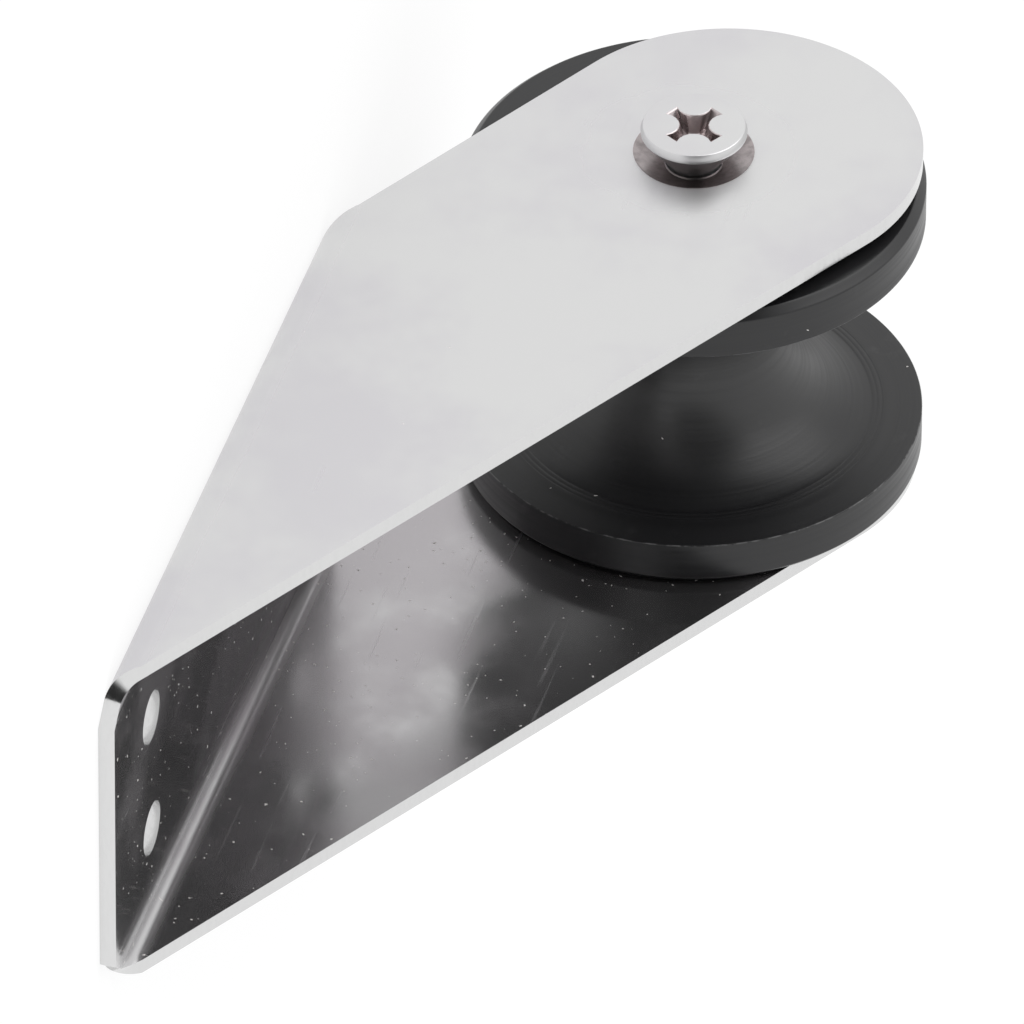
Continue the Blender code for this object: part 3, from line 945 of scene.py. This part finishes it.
def add_thread(bm, sizes, core, end):
    """A ridge wound round the screw's end, sunk a little into its core."""
    pitch, crest = sizes.thread_pitch, sizes.shank_radius
    root = core - 0.0002
    start = end + pitch * 0.5
    points = [
        (root, start - pitch * 0.42),
        (crest, start - pitch * 0.08),
        (crest, start + pitch * 0.08),
        (root, start + pitch * 0.42),
    ]
    steps = 48 * sizes.thread_turns
    tooth = bm.faces.new([bm.verts.new(at_axle(radius, height)) for radius, height in points])
    made = bmesh.ops.spin(
        bm, geom=[tooth], cent=AXLE, axis=ALONG_AXLE, dvec=(0.0, pitch / 48, 0.0),
        angle=FULL_TURN * sizes.thread_turns, steps=steps, use_duplicate=False,
    )
    bmesh.ops.recalc_face_normals(bm, faces=bm.faces)
    for item in made["geom_last"]:
        if isinstance(item, bmesh.types.BMFace):
            item.smooth = False


def turned_ring(name, inner, chamfer, material, slot, node, steps):
    """A plain turned ring with broken corners, standing for one CAD node."""
    low, high = corners(node)
    outer = (high.x - low.x) / 2
    bm = bmesh.new()
    chain(bm, [(inner, high.y), (outer, high.y), (outer, low.y), (inner, low.y)], closed=True)
    turn(bm, steps)
    round_edges(bm, chamfer, 2)
    weigh_normals(link_piece(name, bm, [material], "bracket", slot, node))


class MakeRings(bpy.types.Operator):
    """Make the axle sleeve, the nut's washer and its locking ring"""

    bl_idname = "bow_roller.make_rings"
    bl_label = "Sleeve, Washer and Ring"

    def execute(self, context):
        sizes = context.scene.bow_roller_axle
        steps = sizes.turn_steps
        bore = sizes.shank_radius + CLEARANCE
        rings = (
            ("sleeve_tube", 0.0004, "plain_steel", "plain_steel", "axle_sleeve"),
            ("flat_washer", 0.0003, "plain_steel", "plain_steel", "nut_washer"),
            ("locking_ring", 0.0003, "ring_nylon", "white_nylon", "nut_insert"),
        )
        for name, chamfer, material, slot, node in rings:
            turned_ring(name, bore, chamfer, material, slot, node, steps)
        return {"FINISHED"}


def intersect(piece, cutter):
    """Return what two temporary objects share as a bmesh."""
    cut = piece.modifiers.new("Cut", "BOOLEAN")
    cut.operation = "INTERSECT"
    cut.object = cutter
    evaluated = piece.evaluated_get(bpy.context.evaluated_depsgraph_get())
    bm = bmesh.new()
    bm.from_mesh(bpy.data.meshes.new_from_object(evaluated))
    for scrap in (piece, cutter):
        bpy.data.objects.remove(scrap, do_unlink=True)
    return bm


class MakeNut(bpy.types.Operator):
    """Make the lock nut: chamfered hexagon, round collar and pocket for its ring"""

    bl_idname = "bow_roller.make_nut"
    bl_label = "Lock Nut"

    def execute(self, context):
        sizes = context.scene.bow_roller_axle
        low, high = corners("lock_nut")
        ring_low, ring_high = corners("nut_insert")
        face, back = high.y, low.y
        flats, corner = sorted(((high.x - low.x) / 2, (high.z - low.z) / 2))
        blank = corner + 0.0002
        bore = sizes.shank_radius + CLEARANCE
        collar = sizes.nut_collar
        pocket_back = ring_low.y - CLEARANCE
        pocket_face = ring_high.y + CLEARANCE
        pocket = (ring_high.x - ring_low.x) / 2 + CLEARANCE
        lip = pocket - 0.0006
        bm = bmesh.new()
        profile = [
            (bore + 0.0006, face),
            (flats - 0.0001, face),
            (blank, face - 0.0008),
            (blank, face - 0.0050),
            (collar + 0.0004, face - 0.0062),
            (collar, face - 0.0064),
            (collar, back + 0.0007),
            (collar - 0.0002, back + 0.0002),
            (collar - 0.0007, back),
            (lip, back),
            (lip, pocket_back),
            (pocket, pocket_back),
            (pocket, pocket_face),
            (bore, pocket_face),
            (bore, face - 0.0006),
        ]
        chain(bm, profile, closed=True)
        turn(bm, sizes.turn_steps)
        body = make_object("nut_blank", bm)
        hexagon = bmesh.new()
        bmesh.ops.create_cone(
            hexagon, cap_ends=True, segments=6, radius1=corner, radius2=corner, depth=0.02,
            matrix=Matrix.Translation(AXLE + ALONG_AXLE * (face + back) / 2)
            @ Matrix.Rotation(math.radians(-90.0), 4, "X"),
        )
        bm = intersect(body, make_object("nut_hexagon", hexagon))
        clean(bm)
        round_edges(bm, 0.00015, 2, math.radians(28.0))
        weigh_normals(link_piece("collar_nut", bm, ["plain_steel"], "bracket", "plain_steel", "lock_nut"))
        return {"FINISHED"}


# Stage


def add_soft_box(stage):
    """A square soft box overhead, turned to face the roller."""
    data = bpy.data.lights.new("overhead_box", "AREA")
    data.shape = "RECTANGLE"
    data.size = data.size_y = stage.box_size
    data.energy = stage.box_light * math.pi * stage.box_size ** 2
    light = bpy.data.objects.new("overhead_box", data)
    toward = Vector(BOX_HEADING).normalized()
    light.location = AXLE + toward * stage.box_distance
    light.rotation_mode = "QUATERNION"
    light.rotation_quaternion = toward.to_track_quat("Z", "Y")
    bpy.context.scene.collection.objects.link(light)


def add_floor(stage, colours):
    bm = bmesh.new()
    bmesh.ops.create_grid(bm, x_segments=1, y_segments=1, size=stage.floor_size / 2)
    shader = start_material("studio_floor")[1]
    shader.inputs["Base Color"].default_value = opaque((0.2, 0.2, 0.2))
    shader.inputs["Roughness"].default_value = 1.0
    shader.inputs["Specular IOR Level"].default_value = 0.0
    shader.inputs["Emission Color"].default_value = opaque(colours.floor)
    shader.inputs["Emission Strength"].default_value = stage.floor_glow
    make_object("studio_floor", bm, "studio_floor")


def line_of_sight(stage):
    level = math.cos(stage.camera_tilt)
    across = math.cos(stage.camera_turn) * level
    return Vector((across, -math.sin(stage.camera_tilt), math.sin(stage.camera_turn) * level))


def add_world(stage):
    """Even white light all round, but for a dark curtain behind the camera."""
    world = bpy.data.worlds.new("studio_world")
    world.use_nodes = True
    nodes = Nodes(world.node_tree)
    place = nodes.add("ShaderNodeTexCoord")
    toward = nodes.add("ShaderNodeVectorMath", operation="DOT_PRODUCT")
    nodes.join(place.outputs["Generated"], toward.inputs[0])
    toward.inputs[1].default_value = -line_of_sight(stage)
    edge, core = math.cos(stage.curtain_outer), math.cos(stage.curtain_inner)
    strength = nodes.spread(toward.outputs["Value"], edge, core, stage.world_light, stage.curtain_light)
    background = world.node_tree.nodes["Background"]
    background.inputs["Color"].default_value = (1.0, 1.0, 1.0, 1.0)
    nodes.join(strength, background.inputs["Strength"])
    bpy.context.scene.world = world


def add_camera(stage):
    """A long lens that looks at the bracket as it lies on one cheek, with the axle upright."""
    data = bpy.data.cameras.new("studio_camera")
    data.sensor_width = 36.0
    data.lens = stage.lens
    data.clip_start = 0.1
    data.clip_end = 60.0
    camera = bpy.data.objects.new("studio_camera", data)
    sight = line_of_sight(stage)
    upright = (ALONG_AXLE - sight * sight.dot(ALONG_AXLE)).normalized()
    upright = Matrix.Rotation(stage.camera_roll, 3, sight) @ upright
    right = sight.cross(upright)
    target = Vector(stage.camera_target)
    turned = Matrix((right, upright, -sight)).transposed()
    camera.matrix_world = Matrix.Translation(target - sight * stage.camera_distance) @ turned.to_4x4()
    bpy.context.scene.collection.objects.link(camera)
    bpy.context.scene.camera = camera


class MakeStage(bpy.types.Operator):
    """Set the pale floor, soft light all round, one soft box and the camera"""

    bl_idname = "bow_roller.make_stage"
    bl_label = "Stage"

    def execute(self, context):
        stage = context.scene.bow_roller_stage
        add_floor(stage, context.scene.bow_roller_colours)
        add_world(stage)
        add_soft_box(stage)
        add_camera(stage)
        context.scene.view_settings.view_transform = "Standard"
        return {"FINISHED"}


class BowRollerPanel(bpy.types.Panel):
    """Lists the settings and operators in the sidebar"""

    bl_idname = "VIEW3D_PT_bow_roller"
    bl_label = "Bow Roller"
    bl_space_type = "VIEW_3D"
    bl_region_type = "UI"
    bl_category = "Bow Roller"

    def draw(self, context):
        layout = self.layout
        for name, group in PROPERTY_GROUPS.items():
            box = layout.box()
            box.label(text=group.__name__)
            for field in group.__annotations__:
                box.prop(getattr(context.scene, name), field)
        for operator in OPERATORS:
            layout.operator(operator.bl_idname)


PROPERTY_GROUPS = {
    "bow_roller_bracket": BracketSizes,
    "bow_roller_roller": RollerSizes,
    "bow_roller_axle": AxleSizes,
    "bow_roller_colours": FinishColours,
    "bow_roller_stage": StageSizes,
}
OPERATORS = (MakeFinishes, MakeBracket, MakeRoller, MakeScrew, MakeRings, MakeNut, MakeStage)


def register():
    for group in PROPERTY_GROUPS.values():
        bpy.utils.register_class(group)
    for operator in OPERATORS:
        bpy.utils.register_class(operator)
    bpy.utils.register_class(BowRollerPanel)
    for name, group in PROPERTY_GROUPS.items():
        setattr(bpy.types.Scene, name, bpy.props.PointerProperty(type=group))


def unregister():
    for name in PROPERTY_GROUPS:
        delattr(bpy.types.Scene, name)
    bpy.utils.unregister_class(BowRollerPanel)
    for operator in reversed(OPERATORS):
        bpy.utils.unregister_class(operator)
    for group in reversed(list(PROPERTY_GROUPS.values())):
        bpy.utils.unregister_class(group)


def main():
    register()
    for step in ("finishes", "bracket", "roller", "screw", "rings", "nut", "stage"):
        getattr(bpy.ops.bow_roller, "make_" + step)()
    bpy.context.view_layer.update()


if __name__ == "__main__":
    main()
